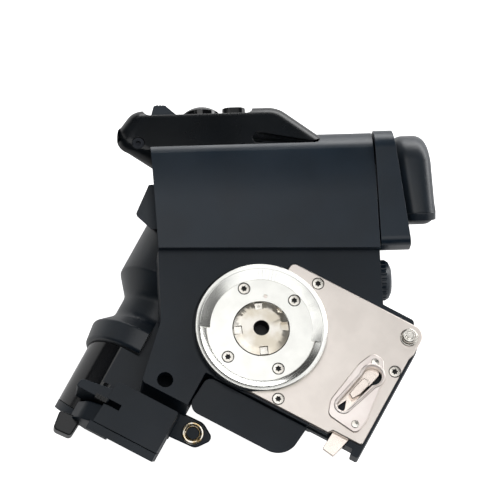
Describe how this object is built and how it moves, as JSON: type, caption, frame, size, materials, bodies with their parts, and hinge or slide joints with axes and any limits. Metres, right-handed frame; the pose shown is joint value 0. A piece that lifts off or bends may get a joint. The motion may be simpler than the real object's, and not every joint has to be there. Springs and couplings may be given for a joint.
{
  "type": "camera motor winder grip",
  "caption": "Motor winder with a battery hand grip for a box-shaped camera: mating plate, bayonet coupling ring, turning drive hub, sliding lock and a tilted head with release controls.",
  "frame": {"origin": "on the drive hub's axis, at the mating plate's outer face", "axes": "+Z out of the mating plate along the drive axis, +X along the plate towards the camera's rear, +Y up in use; the part rests on its outboard side, its lowest z"},
  "size_m": [0.1333, 0.1616, 0.0578],
  "materials": {
    "housing": "fine satin grain",
    "grip_rubber": "smooth soft",
    "base_plastic": "semi-gloss",
    "carrier_plastic": "plain",
    "plate_steel": "satin, warm",
    "coupling_metal": "satin",
    "hub_steel": "turned",
    "screw_steel": "plain",
    "dark_screws": "black",
    "control_plastic": "gloss",
    "eyelet_metal": "polished",
    "gear_plastic": "natural",
    "shaft_steel": "ground",
    "gear_plate_alloy": "plain",
    "motor_metal": "plated",
    "motor_plastic": "plain",
    "cell_jacket": "printed jacket",
    "contact_brass": "plain",
    "board_laminate": "solder mask",
    "board_part_plastic": "plain",
    "spring_steel": "plain"
  },
  "bodies": {
    "body": {"inner_housing": "housing", "gear_room_wall": "housing", "outer_housing": "housing", "gear_box_cover": "housing", "head_shell": "housing", "end_cap": "housing", "control_hump": "housing", "finger_ledge": "housing", "finger_grip": "grip_rubber", "thumb_pad": "grip_rubber", "grip_shell": "base_plastic", "strap_lug": "base_plastic", "mount_plate": "plate_steel", "lock_cover": "plate_steel", "coupling_ring": "coupling_metal", "coupling_disc": "coupling_metal", "locating_stud": "hub_steel", "cover_rivets": "hub_steel", "plate_screws": "screw_steel", "disc_screws": "screw_steel", "hump_screws": "dark_screws", "housing_screws": "dark_screws", "strap_eyelet": "eyelet_metal", "hub_bush": "eyelet_metal", "idler_shaft": "shaft_steel", "gear_plate_posts": "shaft_steel", "gear_plate": "gear_plate_alloy", "motor_can": "motor_metal", "motor_end_cap": "motor_plastic", "circuit_board": "board_laminate", "switch_board": "board_laminate", "board_parts": "board_part_plastic", "tact_switches": "board_part_plastic", "release_spring": "spring_steel", "second_spring": "spring_steel"},
    "drive": {"drive_hub": "hub_steel", "hub_keys": "hub_steel", "hub_gear": "gear_plastic"},
    "idler": {"idler_gear": "gear_plastic"},
    "pinion": {"motor_pinion": "shaft_steel"},
    "lock": {"lock_tongue": "plate_steel", "lock_lever": "plate_steel"},
    "release": {"release_button": "control_plastic"},
    "second": {"second_button": "control_plastic"},
    "slider": {"mode_slider": "control_plastic"},
    "dial": {"mode_dial": "control_plastic", "dial_collar": "control_plastic"},
    "cassette": {"cassette_body": "carrier_plastic", "cassette_cap": "base_plastic", "battery_cells": "cell_jacket", "cell_contacts": "contact_brass"},
    "latch": {"base_latch": "base_plastic"}
  },
  "joints": [
    {"name": "drive_spin", "type": "hinge", "parent": "body", "child": "drive", "pos_m": [0, 0, 0], "axis": [0, 0, 1], "continuous": true},
    {"name": "idler_spin", "type": "hinge", "parent": "body", "child": "idler", "pos_m": [0.012, 0.02079, -0.009], "axis": [0, 0, 1], "continuous": true},
    {"name": "pinion_spin", "type": "hinge", "parent": "body", "child": "pinion", "pos_m": [0.0164, 0.00436, -0.011], "axis": [0, 0, 1], "continuous": true},
    {"name": "lock_slide", "type": "slide", "parent": "body", "child": "lock", "axis": [0.2588, 0.9659, 0], "range_m": [0, 0.004]},
    {"name": "release_press", "type": "slide", "parent": "body", "child": "release", "axis": [0.512, -0.859, 0], "range_m": [0, 0.001], "stiffness_N_per_m": 600, "springref_m": -0.0015},
    {"name": "second_press", "type": "slide", "parent": "body", "child": "second", "axis": [0.512, -0.859, 0], "range_m": [0, 0.001], "stiffness_N_per_m": 600, "springref_m": -0.0015},
    {"name": "slider_move", "type": "slide", "parent": "body", "child": "slider", "axis": [0.859, 0.512, 0], "range_m": [0, 0.0024]},
    {"name": "dial_turn", "type": "hinge", "parent": "body", "child": "dial", "pos_m": [0.0272, 0.04206, -0.0155], "axis": [0.859, 0.512, 0], "range_deg": [-45, 90]},
    {"name": "cassette_slide", "type": "slide", "parent": "body", "child": "cassette", "axis": [0, -1, 0], "range_m": [0, 0.056]},
    {"name": "latch_slide", "type": "slide", "parent": "body", "child": "latch", "axis": [1, 0, 0], "range_m": [0, 0.0045]}
  ],
  "couplings": [
    {"joint": "idler_spin", "follows": "drive_spin", "ratio": -3},
    {"joint": "pinion_spin", "follows": "drive_spin", "ratio": 7.2}
  ]
}
